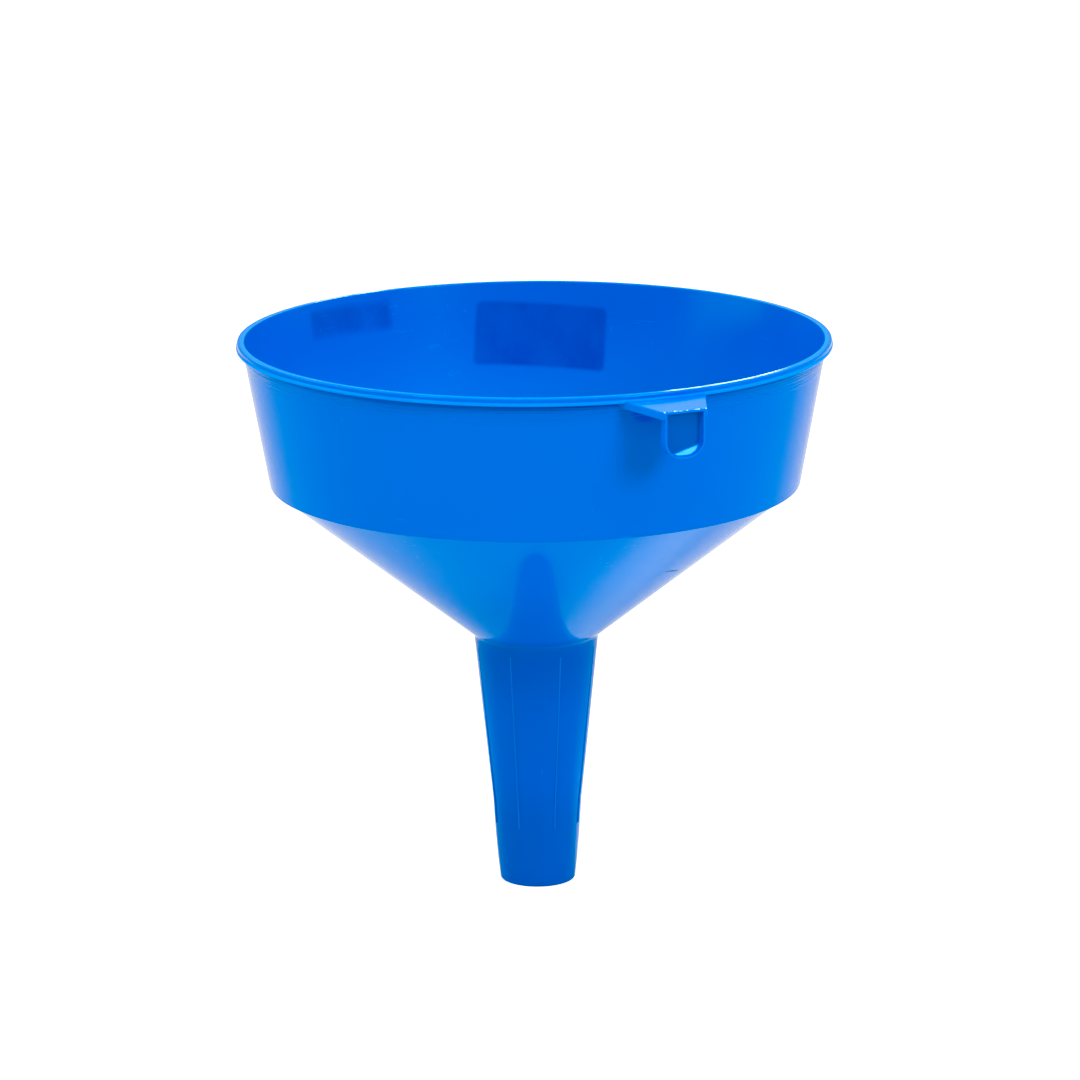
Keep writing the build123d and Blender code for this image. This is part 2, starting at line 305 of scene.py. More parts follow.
def plastic(name, tone=(1.0, 1.0), inner=False, scuffs=1.0, gloss=0.0, ior=1.49, zones=(), turned=False, rings=(), crown=None, scratch=None):
    """Glossy blue moulding. tone scales green and blue and carries painted shade and painted light:
     the thin walls of the shaded spout and the hook's recessed panel get deeper tones, lit parts paler ones."""
    g = Graph(name)
    b = g.bsdf
    G, B = BLUE[1] * tone[0], BLUE[2] * tone[1]
    # broad unevenness in the pigment and in the wall's thickness
    cloud = g.noise(g.coord, 9.0, 3.0, 0.5)
    fine = g.noise(g.coord, 120.0, 2.0, 0.6)
    f = g.ramp(cloud, 0.3, 0.7, 0.0, 1.0)
    col = g.mix(f, (0.0, G * 0.965, B * 0.98, 1), (0.0, G * 1.035, min(1, B * 1.02), 1))
    radius = g.math("SQRT", g.add(g.mul(g.x, g.x), g.mul(g.y, g.y)))
    # paler inside a radius: (inner, outer, green, blue) in mm
    for r0, r1, zg, zb in rings:
        g0, b0 = BLUE[1] * zg, BLUE[2] * zb
        col = g.mix(g.ramp(radius, r0 * MM, r1 * MM), (0.0, g0, min(1, b0), 1), col)
    # painted shade and light: a rib's foot is deeper than its crown, by height above the spout's own taper
    if crown:
        slope = (SPOUT_PROFILE[0][1] - SPOUT_PROFILE[1][1]) / (SPOUT_PROFILE[0][0] - SPOUT_PROFILE[1][0])
        base = g.add(g.mul(g.z, slope), (SPOUT_PROFILE[1][1] - slope * SPOUT_PROFILE[1][0]) * MM)
        g0, b0 = BLUE[1] * crown[0], BLUE[2] * crown[1]
        col = g.mix(g.ramp(g.sub(radius, base), crown[2] * MM, crown[3] * MM), (0.0, g0, b0, 1), col)
    # deeper or paler zones up the height: (low z, high z, green, blue) in mm
    for z0, z1, zg, zb in zones:
        g0, b0 = BLUE[1] * zg, BLUE[2] * zb
        tinted = g.mix(f, (0.0, g0 * 0.965, b0 * 0.98, 1), (0.0, g0 * 1.035, min(1, b0 * 1.02), 1))
        col = g.mix(g.ramp(g.z, z0 * MM, z1 * MM), tinted, col)
    if inner:
        # painted light: paler towards the shoulder, standing in for light that comes through the wall and fills the
        # bowl
        low = g.ramp(g.z, 0.170, 0.228, 1.0, 0.0)
        col = g.mix(low, col, (0.0, G * 1.60, min(0.95, B * 1.10), 1))
        # painted shadow: the stickers on the outside hold back light through the wall, painted as deeper patches
        sticker_shadow = stamp_mask(g, BACK_LABEL, 1.2)
        side_sticker_shadow = g.mul(stamp_mask(g, SIDE_LABEL, 2.4), g.ramp(g.noise(g.coord, 42.0, 3.0, 0.6, w=6.1), 0.34, 0.62, 0.35, 1.0))
        mottled = g.ramp(g.noise(g.coord, 70.0, 3.0, 0.6), 0.3, 0.7, 0.72, 1.0)
        shade = g.mul(g.mx(sticker_shadow, side_sticker_shadow), mottled)
        col = g.mix(shade, col, (0.0, G * 0.56, B * 0.75, 1.0))
    # rubbed, slightly chalky marks
    rub_v = g.vec(g.x, g.y, g.mul(g.z, 2.2))
    rub = g.mul(g.ramp(g.noise(rub_v, 45.0, 5.0, 0.65, w=3.1), 0.60, 0.74), g.ramp(cloud, 0.48, 0.62))
    # hairline scratches in two directions
    s1 = g.noise(g.vec(g.mul(g.x, 14.0), g.mul(g.y, 14.0), g.mul(g.z, 420.0)), 3.0, 1.0, 0.5, w=1.7)
    s2 = g.noise(g.vec(g.mul(g.x, 300.0), g.mul(g.y, 300.0), g.mul(g.z, 18.0)), 3.0, 1.0, 0.5, w=5.3)
    hair = g.mx(g.ramp(s1, 0.70, 0.74), g.ramp(s2, 0.71, 0.75))
    hair = g.mul(hair, g.ramp(g.noise(g.coord, 22.0, 2.0, 0.5, w=8.8), 0.5, 0.62))
    worn = g.mul(g.mx(g.mul(rub, 0.5), hair), 0.12 * scuffs)
    col = g.mix(worn, col, (0.10, 0.30, 0.82, 1.0))
    mark = None
    if scratch:
        # one longer scratch: (azimuth, half length in degrees, height mm, rise mm per degree)
        az0, half, z0, rise = scratch
        along = g.sub(g.math("ARCTAN2", g.x, g.mul(g.y, -1.0)), math.radians(az0))
        wave = g.mul(g.sub(g.noise(g.coord, 160.0, 2.0, w=7.7), 0.5), 0.0022)
        off = g.abs(g.sub(g.add(g.sub(g.z, z0 * MM), wave), g.mul(along, rise * MM * 57.3)))
        mark = g.mul(g.ramp(off, 0.00014, 0.00038, 1.0, 0.0), g.ramp(g.abs(along), math.radians(half * 0.8), math.radians(half), 1.0, 0.0))
        mark = g.mul(mark, g.ramp(g.noise(g.coord, 420.0, 2.0, w=2.9), 0.40, 0.55, 0.25, 1.0))
        col = g.mix(g.mul(mark, 0.92), col, (0.0, 0.045, 0.27, 1.0))
    g.put(b.inputs["Base Color"], col)
    rough = g.add(g.ramp(fine, 0.3, 0.7, 0.045 + gloss, 0.07 + gloss), g.mul(g.ramp(cloud, 0.35, 0.7), 0.025))
    rough = g.add(rough, g.mul(g.mx(rub, hair), 0.22))
    if mark is not None:
        rough = g.add(rough, g.mul(mark, 0.45))
    g.put(b.inputs["Roughness"], rough)
    b.inputs["IOR"].default_value = ior
    b.inputs["Specular IOR Level"].default_value = 0.5
    b.inputs["Specular Tint"].default_value = (0.3, 0.92, 1.0, 1.0)
    # moulded skin: a long soft ripple and a fine grain
    ripple = g.noise(g.coord, 34.0, 1.0, 0.4, w=2.2)
    h = g.add(ripple, g.mul(fine, 0.04))
    n1 = g.bump(h, 0.5, 0.00006)
    n2 = g.bump(hair, 0.25, 0.00003, n1)
    if turned:
        # fine turned lines left by the mould just below the rim
        lines = g.noise(g.vec(g.mul(g.x, 0.6), g.mul(g.y, 0.6), g.mul(g.z, 90.0)), 9.0, 2.0, 0.6, w=4.4)
        lines = g.mul(g.ramp(lines, 0.48, 0.66), g.ramp(g.z, 0.2225, 0.2310, 0.0, 1.0))
        n2 = g.bump(lines, 1.0, 0.00020, n2)
    if mark is not None:
        n2 = g.bump(g.mul(mark, -1.0), 0.3, 0.00005, n2)
    g.put(b.inputs["Normal"], n2)
    return g.mat


def paper(name):
    g = Graph(name)
    b = g.bsdf
    fib = g.noise(g.vec(g.mul(g.x, 1.0), g.mul(g.y, 1.0), g.mul(g.z, 3.0)), 900.0, 4.0, 0.7)
    cloud = g.noise(g.coord, 30.0, 3.0, 0.5)
    col = g.mix(g.ramp(fib, 0.3, 0.7), (0.76, 0.76, 0.74, 1), (0.86, 0.86, 0.85, 1))
    col = g.mix(g.mul(g.ramp(cloud, 0.45, 0.7), 0.35), col, (0.70, 0.70, 0.66, 1))
    g.put(b.inputs["Base Color"], col)
    g.put(b.inputs["Roughness"], g.ramp(fib, 0.3, 0.7, 0.38, 0.52))
    b.inputs["IOR"].default_value = 1.45
    g.put(b.inputs["Normal"], g.bump(fib, 0.3, 0.00004))
    return g.mat


# painted shade: the spout is deeper just under the cone and again at its tip
SPOUT_TOP_SHADE = (0.60, 0.70)
# painted shade: a deeper band on the wall just under the bead's overhang, plain tone below
M_OUT = plastic("blue_plastic_outer", tone=(0.62, 0.84), zones=[(230.2, 233.2, 1.0, 1.0)], turned=True)
# painted shade: the cone's foot beside the spout takes the spout's deep top tone
M_CONE = plastic("blue_plastic_cone", tone=(1.38, 1.26), scratch=(48.2, 4.9, 147.4, -0.17), zones=[(122.0, 152.0, 1.20, 1.13), (106.5, 113.0, *SPOUT_TOP_SHADE)])
M_IN = plastic("blue_plastic_inner", tone=(0.98, 0.90), inner=True, scuffs=0.5, gloss=0.15)
# painted light and shade on the bead: its top and a band low on its face are paler, the top's inner edge palest, the
# face between plainer, its underside deep
M_RIM = plastic("blue_plastic_rim", tone=(1.30, 1.08), scuffs=1.2, ior=1.42, rings=[(123.0, 123.7, 2.05, 1.28)], zones=[(236.0, 236.5, 1.02, 0.98), (234.7, 235.2, 1.85, 1.24), (233.5, 233.8, 0.70, 0.88)])
# painted shade: deepest under the cone, lighter down the middle, deeper again towards the tip
M_SPOUT = plastic("blue_plastic_spout", tone=SPOUT_TOP_SHADE, gloss=0.03, ior=1.40, zones=[(72.0, 104.0, 0.78, 0.84), (24.0, 50.0, 0.68, 0.72)])
# painted light and shade: paler rib crowns, deep rib feet
M_RIB = plastic("blue_plastic_rib", tone=(1.15, 0.92), gloss=0.08, ior=1.40, crown=(0.28, 0.42, 0.03, 0.13))
M_HOOK = plastic("blue_plastic_hook", tone=(1.2, 1.06), gloss=0.14)
M_FACET = plastic("blue_plastic_hook_foot", tone=(1.15, 1.0), gloss=0.05)
# painted shade: the hook's thin recessed panel is deeper than the hook
M_PANEL_SHADE = plastic("blue_plastic_panel_painted_shade", tone=(0.60, 0.66), gloss=0.12)
M_PAPER = paper("label_paper")
# painted highlights: the plastic at the parting-line flash is paler, standing in for the sparkle of light on it
g = Graph("blue_plastic_flash_painted_glint")
g.put(g.bsdf.inputs["Base Color"], g.mix(g.ramp(g.noise(g.coord, 700.0, 2.0), 0.42, 0.60), (0.02, 0.25, 0.80, 1), (0.62, 0.85, 0.98, 1)))
g.put(g.bsdf.inputs["Roughness"], g.ramp(g.noise(g.coord, 1500.0, 2.0), 0.3, 0.7, 0.18, 0.34))
M_FLASH_GLINT = g.mat

pieces = []


def piece(ob, nodes):
    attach(ob, "root")
    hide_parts(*nodes)
    pieces.append(ob)
    return ob


# --------------------------------------------------------------------------
# the moulding
# --------------------------------------------------------------------------
# corner order is anticlockwise with r to the right and z up; tag 0 outer, 1 inner
piece(lathe("rim_bead_visual", [
    (wall_in(bead_z), bead_z, 0, 0),
    (RIM_R, bead_z, 0.45, 0),
    (RIM_R, bead_z + 1.0, 0.4, 0),
    (RIM_R - 0.45, bead_z + 1.5, 0.35, 0),
    (RIM_R - 0.45, TOTAL_H, 0.8, 0),
    (RIM_IN_R, TOTAL_H, 0.5, 1),
], [M_RIM, M_IN]), ["rim_bead"])
piece(lathe("upper_wall_visual", [
    (seam_in[0], seam_in[1], 0, 0),
    (seam_out[0], seam_out[1], 0, 0),
    (wall_out(STEP_Z), STEP_Z, 0.6, 0),
    (wall_out(bead_z), bead_z, 0, 0),
    (wall_in(bead_z), bead_z, 0, 1),
], [M_OUT, M_IN]), ["upper_wall"])
piece(lathe("cone_visual", [
    (in_junction[0], in_junction[1], 4.0, 1),
    (spout_out(CONE_SPLIT_Z) - SPOUT_T, CONE_SPLIT_Z, 0, 0),
    (spout_out(CONE_SPLIT_Z), CONE_SPLIT_Z, 0, 0),
    (junction[0], junction[1], 3.0, 0),
    (step_in[0], step_in[1], 0, 0),
    (seam_out[0], seam_out[1], 0, 1),
    (seam_in[0], seam_in[1], 0, 1),
    (in_corner[0], in_corner[1], 3.0, 1),
], [M_CONE, M_IN]), ["cone"])
zs = [105.0, 36.0]
piece(lathe("spout_tube_visual", [
    (spout_out(36.0) - SPOUT_T, 36.0, 0, 0),
    (spout_out(36.0), 36.0, 0, 0),
    (spout_out(105.0), 105.0, 0, 0),
    (spout_out(105.0) - SPOUT_T, 105.0, 0, 0),
], [M_SPOUT]), ["spout_tube"])
piece(lathe("spout_tip_visual", [
    (spout_out(0.0) - SPOUT_T, 0.0, 0.1, 0),
    (spout_out(0.0), 0.0, 1.0, 0),
    (spout_out(9.0), 9.0, 0, 0),
    (spout_out(20.0), 20.0, 0, 0),
    (spout_out(36.0), 36.0, 0, 0),
    (spout_out(36.0) - SPOUT_T, 36.0, 0, 0),
    (spout_out(20.0) - SPOUT_T, 20.0, 0, 0),
    (spout_out(9.0) - SPOUT_T, 9.0, 0, 0),
], [M_SPOUT]), ["spout_tip"])


def mesh_object(name, verts, faces, mats, smooth=True):
    me = bpy.data.meshes.new(name)
    me.from_pydata([tuple(c * MM for c in v) for v in verts], [], faces)
    me.update()
    for m in mats:
        me.materials.append(m)
    me.polygons.foreach_set("use_smooth", [smooth] * len(me.polygons))
    ob = bpy.data.objects.new(name, me)
    bpy.context.scene.collection.objects.link(ob)
    return ob


def turned(p, az):
    a = math.radians(az)
    c, s = math.cos(a), math.sin(a)
    return (p[0] * c - p[1] * s, p[0] * s + p[1] * c, p[2])


# --- air-vent ribs: rounded bars whose feet are sunk in the spout -------------
def rib_height(z):
    return RIB_H_LOW + (RIB_H_TOP - RIB_H_LOW) * (z - RIB_LOW_Z) / (RIB_TOP_Z - RIB_LOW_Z)


verts, faces = [], []
for base in RIB_AZ:
    for side in (1, -1):
        az = RIB_AZ_MID + side * base
        stations = [RIB_LOW_Z + 0.02, RIB_LOW_Z + 0.12, RIB_LOW_Z + 0.3]
        stations += [RIB_LOW_Z + 0.3 + (RIB_TOP_Z - RIB_LOW_Z - 0.6) * k / 30 for k in range(1, 31)]
        stations += [SPOUT_TIP_Z]
        stations = sorted(set(stations)) + [RIB_TOP_Z]
        ring = []
        for z in stations:
            h = rib_height(z)
            if z - RIB_LOW_Z < 0.3:
                h *= {0.02: 0.35, 0.12: 0.8}.get(round(z - RIB_LOW_Z, 2), 1.0)
            if z >= RIB_TOP_Z:
                h *= 0.1
            row = []
            for k in range(11):
                t = -1 + 2 * k / 10
                w = RIB_W / 2 * t
                if k in (0, 10):
                    rr = spout_out(z) - 0.35
                else:
                    rr = spout_out(z) + h * (1 - abs(t) ** 2.6) - 0.02
                row.append(turned((w, -math.sqrt(max(rr * rr - w * w, 0)), z), az))
            ring.append(row)
        base_i = len(verts)
        for row in ring:
            verts.extend(row)
        m = 11
        for i in range(len(ring) - 1):
            for k in range(m - 1):
                a = base_i + i * m + k
                faces.append((a, a + 1, a + m + 1, a + m))
            faces.append((base_i + i * m + m - 1, base_i + i * m, base_i + (i + 1) * m, base_i + (i + 1) * m + m - 1))
        faces.append(tuple(base_i + k for k in range(m - 1, -1, -1)))
        top = base_i + (len(ring) - 1) * m
        faces.append(tuple(top + k for k in range(m)))
ribs = mesh_object("vent_ribs_visual", verts, faces, [M_RIB])
piece(ribs, ["vent_ribs"])


# --- hanging hook ---------------------------------------------------------------
def arm_top(r):
    return TOTAL_H - HOOK_ROOT_DROP - (HOOK_END_DROP - HOOK_ROOT_DROP) * (r - HOOK_ROOT_R) / (HOOK_OUT_R - HOOK_ROOT_R)


def half_at(r):
    return HOOK_ROOT_HALF + (HOOK_END_HALF - HOOK_ROOT_HALF) * (r - HOOK_ROOT_R) / (HOOK_OUT_R - HOOK_ROOT_R)


tab_in_r = HOOK_OUT_R - HOOK_TAB_T


def weighted_bevel(ob, width, segments=4):
    m = ob.modifiers.new("edge", "BEVEL")
    m.limit_method = "WEIGHT"
    m.width = width * MM
    m.segments = segments
    m.profile = 0.5
    m.harden_normals = False
    m.use_clamp_overlap = True
    return m


def finish_hard(ob, angle=28):
    """Applies the modifiers, then marks the hard edges that are left."""
    dg = bpy.context.evaluated_depsgraph_get()
    me = bpy.data.meshes.new_from_object(ob.evaluated_get(dg))
    ob.modifiers.clear()
    old = ob.data
    ob.data = me
    me.name = ob.name
    bpy.data.meshes.remove(old)
    bm = bmesh.new()
    bm.from_mesh(me)
    bmesh.ops.recalc_face_normals(bm, faces=bm.faces)
    for f in bm.faces:
        f.smooth = True
    for e in bm.edges:
        if len(e.link_faces) == 2 and e.calc_face_angle(0) > math.radians(angle):
            e.smooth = False
    bm.to_mesh(me)
    bm.free()
    m = ob.modifiers.new("weigh", "WEIGHTED_NORMAL")
    m.keep_sharp = True
    m.weight = 80
    m.mode = "FACE_AREA"
    dg = bpy.context.evaluated_depsgraph_get()
    me2 = bpy.data.meshes.new_from_object(ob.evaluated_get(dg))
    ob.modifiers.clear()
    ob.data = me2
    return ob


def bm_object(name, bm, mats):
    me = bpy.data.meshes.new(name)
    bmesh.ops.recalc_face_normals(bm, faces=bm.faces)
    bm.to_mesh(me)
    bm.free()
    for m in mats:
        me.materials.append(m)
    ob = bpy.data.objects.new(name, me)
    bpy.context.scene.collection.objects.link(ob)
    return ob


def edge_weights(bm, pairs):
    layer = bm.edges.layers.float.get("bevel_weight_edge") or bm.edges.layers.float.new("bevel_weight_edge")
    for (a, b), w in pairs.items():
        e = bm.edges.get((a, b))
        if e:
            e[layer] = w


# arm: plan is a trapezoid, thickness 3.2 mm, relieved underneath
bm = bmesh.new()
NA = 16
root_r = 121.5


def plan_pt(s, r):
    """s from -1 to 1 across the arm at radius-line r in the arm's own frame."""
    return half_at(r) * s


def root_point(s):
    # follows the wall's curve: solve x = half_at(r) s, x^2 + r^2 = root_r^2
    r = root_r
    for _ in range(30):
        x = half_at(r) * s
        r = math.sqrt(root_r ** 2 - x * x)
    return half_at(r) * s, r


def P(x, r, z):
    return tuple(c * MM for c in turned((x, -r, z), HOOK_AZ))


top_in, top_out, low_in, low_out = [], [], [], []
for k in range(NA + 1):
    s = -1 + 2 * k / NA
    x, r = root_point(s)
    top_in.append(bm.verts.new(P(x, r, arm_top(r))))
    low_in.append(bm.verts.new(P(x, r, arm_top(r) - HOOK_ARM_T)))
    x, r = half_at(tab_in_r) * s, tab_in_r
    top_out.append(bm.verts.new(P(x, r, arm_top(r))))
    low_out.append(bm.verts.new(P(x, r, arm_top(r) - HOOK_ARM_T)))
for k in range(NA):
    bm.faces.new((top_in[k], top_in[k + 1], top_out[k + 1], top_out[k]))
    bm.faces.new((top_in[k], low_in[k], low_in[k + 1], top_in[k + 1]))
    bm.faces.new((top_out[k], top_out[k + 1], low_out[k + 1], low_out[k]))
bm.faces.new((top_in[0], top_out[0], low_out[0], low_in[0]))
bm.faces.new((top_in[-1], low_in[-1], low_out[-1], top_out[-1]))
# relief under the arm: rim, wall and ceiling
rel_low, rel_top = [[], []], [[], []]
for k in range(NA + 1):
    s = -1 + 2 * k / NA
    for row, r in ((0, 127.0), (1, tab_in_r - 1.3)):
        x = (half_at(r) - 1.4) * s
        rel_low[row].append(bm.verts.new(P(x, r, arm_top(r) - HOOK_ARM_T)))
        rel_top[row].append(bm.verts.new(P(x * 0.985, r + (0.1 if row == 0 else -0.1), arm_top(r) - HOOK_ARM_T + 1.6)))
for k in range(NA):
    bm.faces.new((low_in[k], rel_low[0][k], rel_low[0][k + 1], low_in[k + 1]))
    bm.faces.new((low_out[k + 1], rel_low[1][k + 1], rel_low[1][k], low_out[k]))
    bm.faces.new((rel_low[0][k], rel_top[0][k], rel_top[0][k + 1], rel_low[0][k + 1]))
    bm.faces.new((rel_low[1][k + 1], rel_top[1][k + 1], rel_top[1][k], rel_low[1][k]))
    bm.faces.new((rel_top[0][k], rel_top[1][k], rel_top[1][k + 1], rel_top[0][k + 1]))
for i in (0, NA):
    bm.faces.new((low_in[i], low_out[i], rel_low[1][i], rel_low[0][i]))
    bm.faces.new((rel_low[0][i], rel_low[1][i], rel_top[1][i], rel_top[0][i]))
w = {}
for i in (0, NA):
    w[(top_in[i], top_out[i])] = 0.6
    w[(low_in[i], low_out[i])] = 0.4
edge_weights(bm, w)
arm = bm_object("hook_arm_visual", bm, [M_HOOK])
weighted_bevel(arm, 0.7)
finish_hard(arm)
piece(arm, ["hook_arm"])


# tab: rings of the same count from the back face to the pocket's floor
def u_shape(half, low, corner, top, n=14):
    pts = [(half, top)]
    for k in range(n + 1):
        a = math.pi / 2 * k / n
        pts.append((half - corner + corner * math.cos(a), low + corner - corner * math.sin(a)))
    for k in range(n + 1):
        a = math.pi / 2 * k / n
        pts.append((-half + corner - corner * math.sin(a), low + corner - corner * math.cos(a)))
    pts.append((-half, top))
    return pts


bm = bmesh.new()


def outer_ring(r):
    zt = arm_top(r)
    zl = zt - HOOK_ARM_T
    pts = [(-half_at(r), zl), (-half_at(r), zt), (half_at(r), zt), (half_at(r), zl)]
    pts += u_shape(HOOK_TAB_HALF, HOOK_TAB_LOW_Z, HOOK_TAB_CORNER, zl)
    return [bm.verts.new(P(x, r, z)) for x, z in pts]


back = outer_ring(tab_in_r)
front = outer_ring(HOOK_OUT_R)
n = len(back)
for i in range(n):
    j = (i + 1) % n
    bm.faces.new((back[i], back[j], front[j], front[i]))
bm.faces.new(back)
ptop = arm_top(HOOK_OUT_R) - 1.0
rim_pts = u_shape(HOOK_TAB_HALF - HOOK_BORDER, HOOK_TAB_LOW_Z + HOOK_BORDER, HOOK_TAB_CORNER - HOOK_BORDER, ptop)
floor_pts = u_shape(HOOK_TAB_HALF - HOOK_BORDER - 0.35, HOOK_TAB_LOW_Z + HOOK_BORDER + 0.2, HOOK_TAB_CORNER - HOOK_BORDER - 0.35, ptop - 0.3)
m = len(rim_pts)
# the recess's foot is a sloped facet: below the chord the floor comes forward
foot_low = min(z for _, z in floor_pts)
cut = min(range(2, m // 2), key=lambda i: abs(floor_pts[i][1] - (foot_low + 4.2)))
cut2 = max(range(m // 2, m - 2), key=lambda i: -abs(floor_pts[i][1] - (foot_low + 0.9)))
(cx1, cz1), (cx2, cz2) = floor_pts[cut], floor_pts[cut2]


def below_chord(x, z):
    d = ((cx1 - cx2) * (z - cz2) - (cz1 - cz2) * (x - cx2)) / math.hypot(cx1 - cx2, cz1 - cz2)
    return max(0.0, -d)


rim = [bm.verts.new(P(x, HOOK_OUT_R, z)) for x, z in rim_pts]
floor = [bm.verts.new(P(x, HOOK_OUT_R - HOOK_POCKET_D + below_chord(x, z) * FACET_SLOPE, z)) for x, z in floor_pts]
for i in range(m):
    j = (i + 1) % m
    bm.faces.new((rim[j], rim[i], floor[i], floor[j]))
bm.faces.new(floor[:cut + 1] + floor[cut2:]).material_index = 1
bm.faces.new(floor[cut:cut2 + 1]).material_index = 2
# the front border: U part strip by strip, then the top block
u0 = 4  # first U point of the outer ring (top right)
for i in range(m - 1):
    bm.faces.new((front[u0 + i], front[u0 + i + 1], rim[i + 1], rim[i]))
# top block: between ring corners 0..3 and the pocket's top edge
bm.faces.new((front[3], front[u0], rim[0], front[2]))
bm.faces.new((front[0], front[1], rim[m - 1], front[u0 + m - 1]))
bm.faces.new((front[1], front[2], rim[0], rim[m - 1]))
w = {(front[1], front[2]): 1.0}
for i in range(m - 1):
    w[(front[u0 + i], front[u0 + i + 1])] = 0.65
    w[(rim[i], rim[i + 1])] = 0.35
    w[(back[u0 + i], back[u0 + i + 1])] = 0.45
    w[(floor[i], floor[i + 1])] = 0.35 if cut <= i < cut2 else 0.5
w[(rim[m - 1], rim[0])] = 0.35
w[(front[1], back[1])] = 0.6
w[(front[2], back[2])] = 0.6
w[(front[0], back[0])] = 0.4
w[(front[3], back[3])] = 0.4
w[(front[0], front[1])] = 0.5
w[(front[2], front[3])] = 0.5
edge_weights(bm, w)
tab = bm_object("hook_tab_visual", bm, [M_HOOK, M_PANEL_SHADE, M_FACET, M_FLASH_GLINT])
weighted_bevel(tab, 0.7)
finish_hard(tab)
# moulding flash: a ragged bead of plastic along the fold's edge
rnd = random.Random(11)
# where it thickens along the edge, how wide, how much
FLASH = ((-0.97, 0.04, 0.36), (-0.47, 0.05, 0.22), (-0.30, 0.12, 0.34), (0.10, 0.04, 0.08), (0.58, 0.07, 0.40), (0.97, 0.03, 0.38))
bm = bmesh.new()
bm.from_mesh(tab.data)
STN, RN = 150, 10
rows = []
for k in range(STN + 1):
    t = -1 + 2 * k / STN
    x = (HOOK_END_HALF - 0.25) * t
    nz = noise.noise(Vector((x * 0.9, 3.7, 0.0))) + 0.55 * noise.noise(Vector((x * 2.6, 9.1, 0.0)))
    lump = sum(q * math.exp(-((t - c) / w) ** 2) for c, w, q in FLASH)
    size = 0.11 + 0.12 * max(0.0, nz) + 0.05 * rnd.random() + lump * (1.1 + 0.5 * rnd.random())
    size = min(size, 0.62) * min(1.0, (1 - abs(t)) * 12 + 0.35)
    cz, cr = arm_top(HOOK_OUT_R) - 0.16 + 0.10 * noise.noise(Vector((x * 1.7, 0.0, 5.0))), HOOK_OUT_R - 0.42
    rows.append([bm.verts.new(P(x, min(cr + size * 1.15 * math.cos(q), HOOK_OUT_R - 0.01), cz + size * math.sin(q)))
                 for q in (2 * math.pi * j / RN for j in range(RN))])
flash_faces = []
for k in range(STN):
    for j in range(RN):
        q = (j + 1) % RN
        flash_faces.append(bm.faces.new((rows[k][j], rows[k][q], rows[k + 1][q], rows[k + 1][j])))
flash_faces.append(bm.faces.new(rows[0][::-1]))
flash_faces.append(bm.faces.new(rows[-1]))
bmesh.ops.recalc_face_normals(bm, faces=flash_faces)
for fc in flash_faces:
    fc.smooth = True
    fc.material_index = 3
bm.to_mesh(tab.data)
bm.free()
piece(tab, ["hook_tab"])


